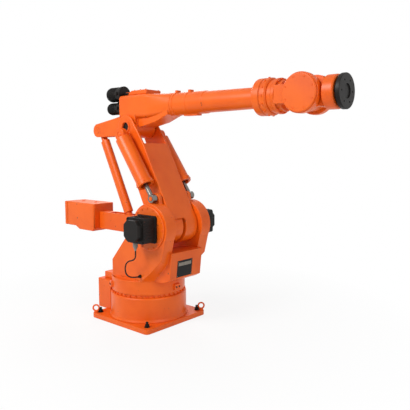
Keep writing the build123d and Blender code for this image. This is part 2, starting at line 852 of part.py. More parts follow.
with BuildPart() as wrist_head:
    with BuildSketch(side_plane(head_half_width)):
        with Locations((wrist_x, arm_z)):
            Circle(head_hub_radius)
            Rectangle(head_shoulder, 2 * head_neck_half_height, align=(Align.MIN, Align.CENTER))
    extrude(amount=2 * head_half_width)
    with BuildSketch(cross_plane(wrist_x + head_shoulder, arm_z)):
        Circle(head_radius)
    extrude(amount=head_end - head_shoulder)
    chamfer(wrist_head.faces().sort_by(Axis.X)[-1].edges(), head_edge)
    with BuildSketch(side_plane(2 * wrist_outer)):
        with Locations((wrist_x, arm_z)):
            Circle(bend_pin_radius + running_fit)
    extrude(amount=4 * wrist_outer, mode=Mode.SUBTRACT)
save(wrist_head.part, "wrist_head")

flange_front = wrist_x + flange_face
with BuildPart() as tool_flange:
    with BuildSketch(cross_plane(wrist_x + head_end + slew_gap, arm_z)):
        Circle(flange_hub_radius)
    extrude(amount=flange_face - flange_thickness - head_end - slew_gap)
    with BuildSketch(cross_plane(flange_front - flange_thickness, arm_z)):
        Circle(flange_radius)
    extrude(amount=flange_thickness)
    chamfer(tool_flange.faces().sort_by(Axis.X)[-1].edges(), flange_edge)
    with BuildSketch(cross_plane(flange_front, arm_z)):
        Circle(flange_recess_radius)
    extrude(amount=-flange_recess_depth, mode=Mode.SUBTRACT)
    with BuildSketch(cross_plane(flange_front, arm_z)):
        with PolarLocations(flange_bolt_circle / 2, flange_bolt_count):
            Circle(flange_hole_radius)
    extrude(amount=-flange_thickness, mode=Mode.SUBTRACT)
save(tool_flange.part, "tool_flange")
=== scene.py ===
from math import cos, pi, radians, sin

import bmesh
import bpy
from mathutils import Matrix, Vector


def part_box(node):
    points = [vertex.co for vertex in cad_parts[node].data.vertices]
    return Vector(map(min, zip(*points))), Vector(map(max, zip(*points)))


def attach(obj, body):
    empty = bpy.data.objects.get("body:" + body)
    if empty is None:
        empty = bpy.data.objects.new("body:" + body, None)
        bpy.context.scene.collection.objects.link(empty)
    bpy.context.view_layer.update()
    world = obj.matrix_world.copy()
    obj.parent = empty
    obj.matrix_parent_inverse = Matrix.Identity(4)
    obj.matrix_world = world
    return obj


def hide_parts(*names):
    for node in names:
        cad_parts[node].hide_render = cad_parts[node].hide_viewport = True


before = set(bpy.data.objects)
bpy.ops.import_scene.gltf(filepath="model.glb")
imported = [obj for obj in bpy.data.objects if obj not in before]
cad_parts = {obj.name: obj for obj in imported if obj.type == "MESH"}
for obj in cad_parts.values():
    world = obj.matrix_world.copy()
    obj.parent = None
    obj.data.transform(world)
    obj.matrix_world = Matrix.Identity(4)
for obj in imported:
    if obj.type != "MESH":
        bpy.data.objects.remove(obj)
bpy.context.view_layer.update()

# Base: a square steel plate that is bolted to the floor, with a round iron drum, a connector
# box and a drive cover on it. All are sprayed with the same thick gloss enamel, which rounds
# every edge a little.

MM = 0.001
SHARP_EDGE = radians(35)
FLAT_JOIN = radians(0.5)
WELD = 0.01 * MM


def linear(code):
    """Linear colour of an sRGB hex value such as "F2692A"."""
    channels = [int(code[i : i + 2], 16) / 255 for i in (0, 2, 4)]
    return [c / 12.92 if c <= 0.04045 else ((c + 0.055) / 1.055) ** 2.4 for c in channels] + [1]


def add_node(tree, kind, sockets=None, **settings):
    """Adds a node with its settings. A socket's value is a constant or another node's output."""
    node = tree.nodes.new(kind)
    for name, value in settings.items():
        setattr(node, name, value)
    for name, value in (sockets or {}).items():
        if isinstance(value, bpy.types.NodeSocket):
            tree.links.new(value, node.inputs[name])
        else:
            node.inputs[name].default_value = value
    return node


def add_noise(tree, place, grain_mm, detail):
    """Noise from 0 to 1 with grains of about that many millimetres."""
    sockets = {"Vector": place, "Scale": 1 / (grain_mm * MM), "Detail": detail}
    return add_node(tree, "ShaderNodeTexNoise", sockets).outputs["Fac"]


def add_range(tree, value, low, high, least, most):
    """Maps a value between low and high to one between least and most."""
    sockets = {"Value": value, "From Min": low, "From Max": high, "To Min": least, "To Max": most}
    return add_node(tree, "ShaderNodeMapRange", sockets).outputs["Result"]


def add_mix(tree, share, first, second):
    """Mixes two colours: the share is the second one's."""
    sockets = {"Factor": share, "A": first, "B": second}
    return add_node(tree, "ShaderNodeMix", sockets, data_type="RGBA").outputs["Result"]


def new_material(name):
    """An empty node material, its tree and its output node."""
    material = bpy.data.materials.new(name)
    material.use_nodes = True
    material.node_tree.nodes.clear()
    return material, material.node_tree, add_node(material.node_tree, "ShaderNodeOutputMaterial")


PRIMER = "6B3A22"
PATCH_RANGE = (0.42, 0.72)
PATCH_MOST = 0.6
CHIP_MM = 34.0
CHIP_RANGE = (0.735, 0.745)
DUST_RANGE = (0.5, 1.0)
DUST_DULLS = 0.2
SHINE_SPREAD = (-0.08, 0.12)
PEEL_STRENGTH = 0.12
PEEL_HEIGHT = 0.6 * MM


def enamel(name, colour, worn_colour, roughness, peel_mm, patch_mm, ior=1.4):
    """Sprayed enamel on a casting: a smooth skin over a faintly uneven ground.

    It mirrors the room softly, turns browner in broad faint patches and duller where dust
    lies on faces that look up, and has a few small chips.
    """
    material, tree, output = new_material(name)
    coordinates = add_node(tree, "ShaderNodeTexCoord")
    place = coordinates.outputs["Object"]
    patch = add_noise(tree, place, patch_mm, 5.0)
    worn = add_range(tree, patch, *PATCH_RANGE, 0.0, PATCH_MOST)
    tint = add_mix(tree, worn, linear(colour), linear(worn_colour))
    bare = add_range(tree, add_noise(tree, place, CHIP_MM, 3.0), *CHIP_RANGE, 0.0, 1.0)
    chipped = add_mix(tree, bare, tint, linear(PRIMER))
    upward = add_node(tree, "ShaderNodeSeparateXYZ", {"Vector": coordinates.outputs["Normal"]})
    dust = add_range(tree, upward.outputs["Z"], *DUST_RANGE, 0.0, DUST_DULLS)
    shine = add_range(tree, patch, 0.0, 1.0, *(roughness + change for change in SHINE_SPREAD))
    dull = add_node(tree, "ShaderNodeMath", {0: shine, 1: dust}, operation="ADD")
    peel = add_noise(tree, place, peel_mm, 2.0)
    bump = add_node(
        tree, "ShaderNodeBump", {"Height": peel, "Strength": PEEL_STRENGTH, "Distance": PEEL_HEIGHT}
    )
    paint = add_node(
        tree,
        "ShaderNodeBsdfPrincipled",
        {
            "Base Color": chipped,
            "Roughness": dull.outputs["Value"],
            "IOR": ior,
            "Normal": bump.outputs["Normal"],
        },
    )
    tree.links.new(paint.outputs["BSDF"], output.inputs["Surface"])
    return material


def show(name, shape, material, body):
    """Makes an object of a finished bmesh and joins it to the body that it moves with."""
    mesh = bpy.data.meshes.new(name)
    shape.to_mesh(mesh)
    shape.free()
    mesh.materials.append(material)
    piece = bpy.data.objects.new(name, mesh)
    bpy.context.scene.collection.objects.link(piece)
    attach(piece, body)
    return piece


def round_edges(piece, edge_mm, segments=2):
    """A live bevel that breaks the sharp edges."""
    for face in piece.data.polygons:
        face.use_smooth = True
    rounded = piece.modifiers.new("rounded edges", "BEVEL")
    rounded.width = edge_mm * MM
    rounded.segments = segments
    rounded.limit_method = "ANGLE"
    rounded.angle_limit = SHARP_EDGE
    rounded.harden_normals = True
    return rounded


def skin(node, body, material, edge_mm):
    """The node's own shape with its edges rounded, as a casting's or a turned piece's are."""
    shape = bmesh.new()
    shape.from_mesh(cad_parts[node].data)
    bmesh.ops.remove_doubles(shape, verts=shape.verts, dist=WELD)
    bmesh.ops.dissolve_limit(shape, angle_limit=FLAT_JOIN, verts=shape.verts, edges=shape.edges)
    piece = show(node + "_shown", shape, material, body)
    round_edges(piece, edge_mm, segments=3).use_clamp_overlap = False
    piece.modifiers.new("flat faces", "WEIGHTED_NORMAL").keep_sharp = True
    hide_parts(node)


ORANGE = "EE6610"
ORANGE_WORN = "DC5208"
orange_enamel = enamel(
    "orange gloss enamel", ORANGE, ORANGE_WORN, roughness=0.34, peel_mm=5.0, patch_mm=260.0
)
BASE_EDGES_MM = {"base_plate": 5.0, "base_drum": 7.0, "connector_box": 7.0, "drive_cover": 7.0}
for node, edge_mm in BASE_EDGES_MM.items():
    skin(node, "base", orange_enamel, edge_mm)

# Lifting eyes: forged steel rings at two opposite corners of the plate, for a crane's hooks.
# Each is screwed into the plate and painted with it.

for node in ("lifting_eye_right", "lifting_eye_left"):
    skin(node, "base", orange_enamel, edge_mm=1.5)

# Ring screws: cap screws hold the slewing ring to the drum, all round it, painted over with
# it. They have turned heads with a broken edge and a socket.

SCREW_SIDES = 16
SOCKET_SHARE = 0.55
SOCKET_DEPTH_SHARE = 0.4
HEAD_EDGE_SHARE = 0.12
RIM_FACING = 0.9
TOP_FACING = 0.99


def cap_screws(name, places, head, material, body):
    """One mesh of cap screw heads.

    A place is a point on the seat and the way that the head points. The head is its radius
    and its height.
    """
    radius, height = head
    shape = bmesh.new()
    for seat, way in places:
        turn = way.to_track_quat("Z", "Y").to_matrix().to_4x4()
        made = bmesh.ops.create_cone(
            shape,
            cap_ends=True,
            segments=SCREW_SIDES,
            radius1=radius,
            radius2=radius,
            depth=height,
            matrix=Matrix.Translation(seat + way * height / 2) @ turn,
        )
        shape.normal_update()
        rim = {f for v in made["verts"] for f in v.link_faces if f.normal.dot(way) > RIM_FACING}
        bmesh.ops.bevel(
            shape,
            geom=list({e for f in rim for e in f.edges}),
            offset=radius * HEAD_EDGE_SHARE,
            affect="EDGES",
            segments=2,
            profile=0.5,
            material=-1,
        )
        shape.normal_update()
    tops = [
        face
        for face in shape.faces
        if len(face.verts) >= SCREW_SIDES
        and any(face.normal.dot(way) > TOP_FACING for _, way in places)
    ]
    socket_inset = radius * (1 - HEAD_EDGE_SHARE - SOCKET_SHARE)
    bmesh.ops.inset_individual(shape, faces=tops, thickness=socket_inset)
    for face in tops:
        sink = -face.normal * height * SOCKET_DEPTH_SHARE
        bmesh.ops.translate(shape, verts=face.verts, vec=sink)
    show(name, shape, material, body)


OXIDE = "0E0B09"
OXIDE_WORN = "1C1512"
black_oxide = enamel(
    "black oxide steel", OXIDE, OXIDE_WORN, roughness=0.42, peel_mm=2.0, patch_mm=40.0, ior=1.3
)
UP = Vector((0, 0, 1))
RING_SCREWS = 40
RING_HEAD = (7 * MM, 14 * MM)
ring_low, ring_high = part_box("bearing_ring")
ring_middle = UP * (ring_low.z + ring_high.z) / 2
ring_angles = [2 * pi * i / RING_SCREWS for i in range(RING_SCREWS)]
ring_ways = [Vector((cos(angle), sin(angle), 0)) for angle in ring_angles]
ring_seats = [(ring_middle + way * ring_high.x, way) for way in ring_ways]
cap_screws("ring_screws", ring_seats, RING_HEAD, orange_enamel, "base")

# Anchors: four steel studs set in the floor, each with a washer and a hexagon nut on the
# plate. Black from the mill, with a turned end.

ANCHOR_REACH = 320 * MM
WASHER_RADIUS = 24 * MM
WASHER_THICKNESS = 5 * MM
NUT_RADIUS = 20.8 * MM
NUT_HEIGHT = 20 * MM
NUT_SIDES = 6
STUD_RADIUS = 12 * MM
STUD_HEIGHT = 46 * MM
ROUND_SIDES = 32


def add_rod(shape, start, end, radius, sides=ROUND_SIDES, end_radius=None):
    """Adds a round bar, or a taper or hexagon, from one point to another."""
    way = end - start
    turn = way.to_track_quat("Z", "Y").to_matrix().to_4x4()
    bmesh.ops.create_cone(
        shape,
        cap_ends=True,
        segments=sides,
        radius1=radius,
        radius2=radius if end_radius is None else end_radius,
        depth=way.length,
        matrix=Matrix.Translation((start + end) / 2) @ turn,
    )


plate_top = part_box("base_plate")[1].z
anchors = bmesh.new()
for x in (-ANCHOR_REACH, ANCHOR_REACH):
    for y in (-ANCHOR_REACH, ANCHOR_REACH):
        seat = Vector((x, y, plate_top))
        washer_top = seat + UP * WASHER_THICKNESS
        nut_top = washer_top + UP * NUT_HEIGHT
        add_rod(anchors, seat, washer_top, WASHER_RADIUS)
        add_rod(anchors, washer_top, nut_top, NUT_RADIUS, NUT_SIDES)
        add_rod(anchors, nut_top, seat + UP * STUD_HEIGHT, STUD_RADIUS)
round_edges(show("anchor_studs", anchors, black_oxide, "base"), edge_mm=1.5)

# Connector panel: a plain screwed plate on the back of the connector box, with two black
# plug housings for the power and signal leads, each held by a latch.

PANEL_THICKNESS = 4 * MM
PANEL_WIDTH = 340 * MM
PANEL_HEIGHT = 190 * MM
PANEL_SCREW_Y = 156.4 * MM
PANEL_SCREW_Z = 81.7 * MM
PANEL_HEAD = (6 * MM, 4 * MM)
PANEL_PLUG_SIZE = Vector((34 * MM, 110 * MM, 54 * MM))
PANEL_LATCH_SIZE = Vector((17 * MM, 132 * MM, 27 * MM))
PANEL_PLUG_SPACING = 150 * MM
BACKWARD = Vector((-1, 0, 0))


def add_block(shape, middle, size, turn=Matrix()):
    """Adds a box to the shape: its middle, its size along x, y and z, and how it is turned."""
    place = Matrix.Translation(middle) @ turn @ Matrix.Diagonal((*size, 1))
    bmesh.ops.create_cube(shape, size=1, matrix=place)


box_low, box_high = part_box("connector_box")
panel_middle = Vector((box_low.x - PANEL_THICKNESS / 2, 0, (box_low.z + box_high.z) / 2))
panel = bmesh.new()
add_block(panel, panel_middle, (PANEL_THICKNESS, PANEL_WIDTH, PANEL_HEIGHT))
round_edges(show("connector_panel", panel, orange_enamel, "base"), edge_mm=1.0)
panel_plugs = bmesh.new()
for side in (-1, 1):
    plug_shift = Vector((-PANEL_PLUG_SIZE.x / 2, side * PANEL_PLUG_SPACING / 2, 0))
    for size in (PANEL_PLUG_SIZE, PANEL_LATCH_SIZE):
        add_block(panel_plugs, panel_middle + plug_shift, size)
round_edges(show("panel_plugs", panel_plugs, black_oxide, "base"), edge_mm=3.0)
panel_face = panel_middle + BACKWARD * PANEL_THICKNESS / 2
panel_screws = [
    (panel_face + Vector((0, y * PANEL_SCREW_Y, z * PANEL_SCREW_Z)), BACKWARD)
    for y in (-1, 0, 1)
    for z in (-1, 1)
]
cap_screws("panel_screws", panel_screws, PANEL_HEAD, black_oxide, "base")

# Slewing ring: a ground steel bearing ring between drum and turntable. It is bolted down all
# round and painted over with them.

skin("bearing_ring", "base", orange_enamel, edge_mm=2.0)

# Swivel: one large iron casting, a turntable with two cheeks that carry the shoulder. A round
# reducer cover closes each cheek, and a pin on its top holds a balancer's rod.

skin("swivel_casting", "swivel", orange_enamel, edge_mm=5.0)
SIDES = {"right": Vector((0, -1, 0)), "left": Vector((0, 1, 0))}
for side in SIDES:
    skin("reducer_cover_" + side, "swivel", orange_enamel, edge_mm=3.0)
    skin("balancer_pin_" + side, "swivel", orange_enamel, edge_mm=2.0)

# Reducer screws: a ring of cap screws holds each reducer cover to its cheek. They are painted
# over with the casting.

SHOULDER = Vector((315 * MM, 0, 900 * MM))
REDUCER_SCREWS = 16
REDUCER_SCREW_RADIUS = 174 * MM
REDUCER_HEAD = (8 * MM, 7 * MM)


def screw_circle(middle, way, radius, count, first=0.0):
    """Places of screws on a circle round the middle, all pointing one way."""
    turn = way.to_track_quat("Z", "Y").to_matrix()
    angles = [first + 2 * pi * i / count for i in range(count)]
    return [(middle + turn @ Vector((radius * cos(a), radius * sin(a), 0)), way) for a in angles]


for side, outward in SIDES.items():
    cover_face = max(abs(corner.y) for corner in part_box("reducer_cover_" + side))
    seat = SHOULDER + outward * cover_face
    places = screw_circle(seat, outward, REDUCER_SCREW_RADIUS, REDUCER_SCREWS)
    name = "reducer_screws_" + side
    cap_screws(name, places, REDUCER_HEAD, orange_enamel, "swivel")

# Stop lugs: two iron lugs on the turntable's rim that limit its turn, painted with it. Two
# black cap screws hold each.

FORWARD = Vector((1, 0, 0))
LUG_ANGLES = (radians(4), radians(-121))
LUG_MIDDLE = Vector((346 * MM, 0, 338 * MM))
LUG_SIZE = Vector((26 * MM, 74 * MM, 54 * MM))
LUG_SCREW_REACH = 19 * MM
LUG_HEAD = (8 * MM, 4 * MM)
lugs = bmesh.new()
lug_screws = []
for angle in LUG_ANGLES:
    turn = Matrix.Rotation(angle, 4, "Z")
    add_block(lugs, turn @ LUG_MIDDLE, LUG_SIZE, turn)
    for y in (-LUG_SCREW_REACH, LUG_SCREW_REACH):
        seat = LUG_MIDDLE + Vector((LUG_SIZE.x / 2, y, 0))
        lug_screws.append((turn @ seat, turn @ FORWARD))
round_edges(show("stop_lugs", lugs, orange_enamel, "swivel"), edge_mm=5.0)
cap_screws("stop_lug_screws", lug_screws, LUG_HEAD, black_oxide, "swivel")

# Rating plate: a black steel plate with a bare aluminium field, screwed to the apron at its
# four corners. It carries no words.

APRON_TILT = radians(6.2)
PLATE_MIDDLE = Vector((482.5 * MM, -20 * MM, 540 * MM))
PLATE_SIZE = Vector((3 * MM, 190 * MM, 150 * MM))
PLATE_SCREW_Y = 84 * MM
PLATE_SCREW_Z = 64 * MM
PLATE_HEAD = (4 * MM, 2.5 * MM)
FIELD_SIZE = Vector((3.6 * MM, 160 * MM, 30 * MM))
FIELD_RISE = 40 * MM
ANODISED = "8E867A"
ANODISED_WORN = "6E675C"
anodised = enamel(
    "bare anodised aluminium", ANODISED, ANODISED_WORN, roughness=0.4, peel_mm=2.0, patch_mm=30.0
)
apron_turn = Matrix.Rotation(APRON_TILT, 4, "Y")
rating_plate = bmesh.new()
add_block(rating_plate, PLATE_MIDDLE, PLATE_SIZE, apron_turn)
round_edges(show("rating_plate", rating_plate, black_oxide, "swivel"), edge_mm=0.8)
field = bmesh.new()
add_block(field, PLATE_MIDDLE + apron_turn @ (UP * FIELD_RISE), FIELD_SIZE, apron_turn)
show("rating_field", field, anodised, "swivel")
plate_corners = [
    Vector((PLATE_SIZE.x / 2, y * PLATE_SCREW_Y, z * PLATE_SCREW_Z)) for y in (-1, 1) for z in (-1, 1)
]
plate_screws = [(PLATE_MIDDLE + apron_turn @ corner, apron_turn @ FORWARD) for corner in plate_corners]
cap_screws("plate_screws", plate_screws, PLATE_HEAD, anodised, "swivel")

# Shoulder motors: square servo motors in cast aluminium, sprayed satin black. One is flanged
# to each reducer cover.

MOTOR_BLACK = "0D0A08"
MOTOR_BLACK_WORN = "1A130F"
motor_black = enamel(
    "satin black enamel",
    MOTOR_BLACK,
    MOTOR_BLACK_WORN,
    roughness=0.42,
    peel_mm=3.0,
    patch_mm=90.0,
    ior=1.3,
)
for side in SIDES:
    skin("shoulder_motor_" + side, "swivel", motor_black, edge_mm=3.0)

# Motor ribs: cooling ribs cast along the four sides of each shoulder motor. Four screws hold
# the motor's end cap.

RIB_COUNT = 6
RIB_SPACING = 26 * MM
RIB_SIZE = Vector((7 * MM, 104 * MM, 8 * MM))
MOTOR_HALF = 107 * MM
MOTOR_MIDDLE_OUT = 378 * MM
CAP_STEP_OUT = 439 * MM
CAP_SCREW_REACH = 91 * MM
CAP_HEAD = (7 * MM, 7 * MM)
for side, outward in SIDES.items():
    ribs = bmesh.new()
    for quarter in range(4):
        turn = Matrix.Rotation(quarter * pi / 2, 4, "Y")
        for i in range(RIB_COUNT):
            shift = (i - (RIB_COUNT - 1) / 2) * RIB_SPACING
            middle = SHOULDER + outward * MOTOR_MIDDLE_OUT + turn @ Vector((shift, 0, MOTOR_HALF))
            add_block(ribs, middle, RIB_SIZE, turn)
    round_edges(show("motor_ribs_" + side, ribs, motor_black, "swivel"), edge_mm=2.0)
    cap_middle = SHOULDER + outward * CAP_STEP_OUT
    corners = [
        (cap_middle + Vector((x * CAP_SCREW_REACH, 0, z * CAP_SCREW_REACH)), outward)
        for x in (-1, 1)
        for z in (-1, 1)
    ]
    cap_screws("motor_screws_" + side, corners, CAP_HEAD, black_oxide, "swivel")

# Motor plugs: a round diecast plug under each shoulder motor, screwed on by a hexagon nut,
# with a tapered end for its lead.

PLUG_RADIUS = 21 * MM
PLUG_LENGTH = 46 * MM
PLUG_SHIFT = -46 * MM
PLUG_OUT = 395 * MM
PLUG_NUT_RADIUS = 24.15 * MM
PLUG_NUT_LENGTH = 18.4 * MM
TAPER_LENGTH = 30 * MM
TAPER_RADIUS = 16.8 * MM
TAPER_END_RADIUS = 7.5 * MM
DIECAST = "8A8780"
DIECAST_WORN = "6A665F"
diecast_zinc = enamel(
    "diecast zinc", DIECAST, DIECAST_WORN, roughness=0.35, peel_mm=2.0, patch_mm=30.0
)
motor_plugs = {}
plug_tops = {}
for side, outward in SIDES.items():
    plug_top = SHOULDER + outward * PLUG_OUT + Vector((PLUG_SHIFT, 0, -MOTOR_HALF))
    plug_end = plug_top - UP * PLUG_LENGTH
    plug = bmesh.new()
    add_rod(plug, plug_top, plug_end, PLUG_RADIUS)
    add_rod(plug, plug_top, plug_top - UP * PLUG_NUT_LENGTH, PLUG_NUT_RADIUS, NUT_SIDES)
    taper_end = plug_end - UP * TAPER_LENGTH
    add_rod(plug, plug_end, taper_end, TAPER_RADIUS, end_radius=TAPER_END_RADIUS)
    motor_plugs[side] = show("motor_plug_" + side, plug, diecast_zinc, "swivel")
    round_edges(motor_plugs[side], edge_mm=2.0)
    plug_tops[side] = plug_top

# Motor lead: a black sheathed cable that loops from the right motor's plug into a gland on
# the cheek. It hangs out and a little back under its own weight.

LEAD_RADIUS = 6 * MM
LEAD_DROP = 77 * MM
LEAD_LOOP = (
    Vector((155 * MM, -395 * MM, 610 * MM)),
    Vector((125 * MM, -395 * MM, 540 * MM)),
    Vector((155 * MM, -395 * MM, 480 * MM)),
    Vector((200 * MM, -350 * MM, 465 * MM)),
)
GLAND_PLACE = Vector((200 * MM, -280 * MM, 465 * MM))
GLAND_LENGTH = 30 * MM
GLAND_RADIUS = 13.2 * MM
GLAND_END_RADIUS = 7.8 * MM
GLAND_NUT_LENGTH = 12 * MM
GLAND_NUT_RADIUS = 16.2 * MM
SHEATH = "16110D"
SHEATH_WORN = "241B15"
to_right = SIDES["right"]
gland = bmesh.new()
gland_end = GLAND_PLACE + to_right * GLAND_LENGTH
add_rod(gland, GLAND_PLACE, gland_end, GLAND_RADIUS, end_radius=GLAND_END_RADIUS)
gland_nut_end = GLAND_PLACE + to_right * GLAND_NUT_LENGTH
add_rod(gland, GLAND_PLACE, gland_nut_end, GLAND_NUT_RADIUS, NUT_SIDES)
lead_gland = show("lead_gland", gland, black_oxide, "swivel")
round_edges(lead_gland, edge_mm=1.5)

lead_start = plug_tops["right"]
taper_end = lead_start - UP * (PLUG_LENGTH + TAPER_LENGTH)
lead_route = (lead_start, taper_end, taper_end - UP * LEAD_DROP, *LEAD_LOOP, GLAND_PLACE)
lead_curve = bpy.data.curves.new("motor_lead", "CURVE")
lead_curve.dimensions = "3D"
lead_curve.bevel_depth = LEAD_RADIUS
lead_curve.bevel_resolution = 4
lead_curve.resolution_u = 16
lead_line = lead_curve.splines.new("NURBS")
lead_line.points.add(len(lead_route) - 1)
for point, place in zip(lead_line.points, lead_route):
    point.co = (*place, 1)
lead_line.order_u = 3
lead_line.use_endpoint_u = True
cable_sheath = enamel(
    "PVC cable sheath", SHEATH, SHEATH_WORN, roughness=0.5, peel_mm=1.0, patch_mm=60.0, ior=1.33
)
lead_curve.materials.append(cable_sheath)
motor_lead = bpy.data.objects.new("motor_lead", lead_curve)
bpy.context.scene.collection.objects.link(motor_lead)
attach(motor_lead, "swivel")

# Shafts and pins: ground steel, bare and slightly oiled, seen only at their ends. The elbow's
# pin is black oxide, painted shade for its dark recess; the lever's is painted over with the housing.

STEEL = "8C8A86"
STEEL_WORN = "6E6A64"
GRIND_MM = 1.2
GRIND_ROUGHNESS = (0.24, 0.42)


def ground_steel():
    """Ground steel: fine uneven grain and a soft bright reflection."""
    material, tree, output = new_material("ground steel")
    place = add_node(tree, "ShaderNodeTexCoord").outputs["Object"]
    grain = add_noise(tree, place, GRIND_MM, 1.0)
    metal = add_node(
        tree,
        "ShaderNodeBsdfPrincipled",
        {
            "Base Color": add_mix(tree, grain, linear(STEEL), linear(STEEL_WORN)),
            "Metallic": 1.0,
            "Roughness": add_range(tree, grain, 0.0, 1.0, *GRIND_ROUGHNESS),
        },
    )
    tree.links.new(metal.outputs["BSDF"], output.inputs["Surface"])
    return material


bare_steel = ground_steel()
STEEL_PINS = {"shoulder_shaft": "swivel", "crank_pin": "crank_pin", "bend_pin": "wrist"}
for node, body in STEEL_PINS.items():
    skin(node, body, bare_steel, edge_mm=2.0)
# Painted shade: the elbow pin's black end stands in for the shade in the recess round it.
skin("elbow_pin", "elbow_pin", black_oxide, edge_mm=2.0)
skin("lever_pin", "upper_arm", orange_enamel, edge_mm=2.0)

# Lower arm, crank and rear link: iron castings and a forged link, all enamelled. The crank
# carries the counterweight, and the link holds the upper arm level.

for node, body, edge_mm in (
    ("lower_arm", "lower_arm", 9.0),
    ("crank_arm", "crank", 4.5),
    ("counterweight", "crank", 8.0),
    ("rear_link", "link", 4.0),
):
    skin(node, body, orange_enamel, edge_mm)

# Balancers: an enamelled steel barrel with a bare steel rod at each side of the lower arm.
# Set screws round the barrel's foot hold the rod's gland.

BALANCER_TOP = Vector((-79.3 * MM, 0, 1697.9 * MM))
BALANCER_FOOT = Vector((315 * MM, 0, 1150 * MM))
BALANCER_OUT = 235 * MM
ROD_GLAND_REACH = 519 * MM
ROD_GLAND_RADIUS = 76 * MM
ROD_GLAND_SCREWS = 8
ROD_GLAND_HEAD = (6 * MM, 4 * MM)
for side in SIDES:
    skin("balancer_cylinder_" + side, "balancer_" + side, orange_enamel, edge_mm=4.0)
    skin("balancer_rod_" + side, "rod_" + side, bare_steel, edge_mm=2.0)
balancer_way = (BALANCER_FOOT - BALANCER_TOP).normalized()
for side, outward in SIDES.items():
    middle = BALANCER_TOP + outward * BALANCER_OUT + balancer_way * ROD_GLAND_REACH
    rim = screw_circle(middle, balancer_way, ROD_GLAND_RADIUS, ROD_GLAND_SCREWS)
    places = [(place, (place - middle).normalized()) for place, _ in rim]
    name = "gland_screws_" + side
    cap_screws(name, places, ROD_GLAND_HEAD, orange_enamel, "balancer_" + side)

# Bearing caps: a turned steel ring over each end of the elbow pin, screwed to the lower arm's
# fork and painted with it.

ELBOW = Vector((-115 * MM, 0, 1770.04 * MM))
EAR_FACE = 155 * MM
BEARING_CAP_INNER = 40 * MM
BEARING_CAP_OUTER = 56 * MM
BEARING_CAP_WIDTH = 6 * MM
BEARING_CAP_SCREWS = 8
BEARING_CAP_HEAD = (4 * MM, 2 * MM)
RING_STEPS = 96


def add_ring(shape, middle, way, inner, outer, width):
    """Adds a flat ring round an axis: its middle, the axis, its two radii and its width."""
    across = way.orthogonal().normalized()
    corners = [
        shape.verts.new(middle + across * radius + way * side * width / 2)
        for radius, side in ((inner, -1), (outer, -1), (outer, 1), (inner, 1))
    ]
    edges = [shape.edges.new((corners[i - 1], corners[i])) for i in range(4)]
    bmesh.ops.spin(
        shape,
        geom=corners + edges,
        cent=middle,
        axis=way,
        angle=2 * pi,
        steps=RING_STEPS,
        use_merge=True,
    )
    bmesh.ops.recalc_face_normals(shape, faces=shape.faces)


for side, outward in SIDES.items():
    cap = bmesh.new()
    middle = ELBOW + outward * (EAR_FACE + BEARING_CAP_WIDTH / 2)
    add_ring(cap, middle, outward, BEARING_CAP_INNER, BEARING_CAP_OUTER, BEARING_CAP_WIDTH)
    piece = show("elbow_cap_" + side, cap, orange_enamel, "lower_arm")
    round_edges(piece, edge_mm=1.5)
    seat = ELBOW + outward * (EAR_FACE + BEARING_CAP_WIDTH)
    screw_radius = (BEARING_CAP_INNER + BEARING_CAP_OUTER) / 2
    places = screw_circle(seat, outward, screw_radius, BEARING_CAP_SCREWS)
    name = "elbow_cap_screws_" + side
    cap_screws(name, places, BEARING_CAP_HEAD, orange_enamel, "lower_arm")

# Lifting plugs: two threaded steel plugs close the crane holes in the top of the
# counterweight. They are painted over with it.

WEIGHT_PLUG_X = (-690 * MM, -890 * MM)
WEIGHT_PLUG_Y = -70 * MM
WEIGHT_PLUG_HEAD = (16 * MM, 7 * MM)
weight_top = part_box("counterweight")[1].z
weight_plugs = [(Vector((x, WEIGHT_PLUG_Y, weight_top)), UP) for x in WEIGHT_PLUG_X]
cap_screws("lifting_plugs", weight_plugs, WEIGHT_PLUG_HEAD, orange_enamel, "crank")

# Upper arm: an iron gearbox casting with a screwed top cover, and a tapered tube bolted to
# its front that ends in the wrist's collar.

ARM_EDGES_MM = {"elbow_housing": 5.0, "top_cover": 8.0, "forearm": 3.0, "wrist_collar": 4.0}
for node, edge_mm in ARM_EDGES_MM.items():
    skin(node, "upper_arm", orange_enamel, edge_mm)

# Forearm bands: two steel clamp bands round the tube, each with a lug on top, and a pad
# below. They hold a hose pack and are painted with the tube.

ARM_AXIS_Z = 1952.04 * MM
BANDS = ((396 * MM, 101 * MM), (546 * MM, 97.5 * MM))
BAND_WIDTH = 26 * MM
BAND_DEPTH = 8 * MM
BAND_LUG_RISE = 4 * MM
BAND_LUG_SIZE = Vector((BAND_WIDTH, 46 * MM, 22 * MM))
PAD_MIDDLE = Vector((566 * MM, 0, ARM_AXIS_Z - 95 * MM))
PAD_SIZE = Vector((150 * MM, 60 * MM, 18 * MM))
bands = bmesh.new()
for band_x, band_radius in BANDS:
    middle = Vector((band_x, 0, ARM_AXIS_Z))
    add_ring(bands, middle, FORWARD, band_radius - BAND_DEPTH, band_radius, BAND_WIDTH)
    add_block(bands, middle + UP * (band_radius + BAND_LUG_RISE), BAND_LUG_SIZE)
add_block(bands, PAD_MIDDLE, PAD_SIZE)
round_edges(show("forearm_bands", bands, orange_enamel, "upper_arm"), edge_mm=2.5)

# Cover and collar screws: cap screws hold the housing's top cover along its two sides and
# the wrist's collar all round. They are painted over.

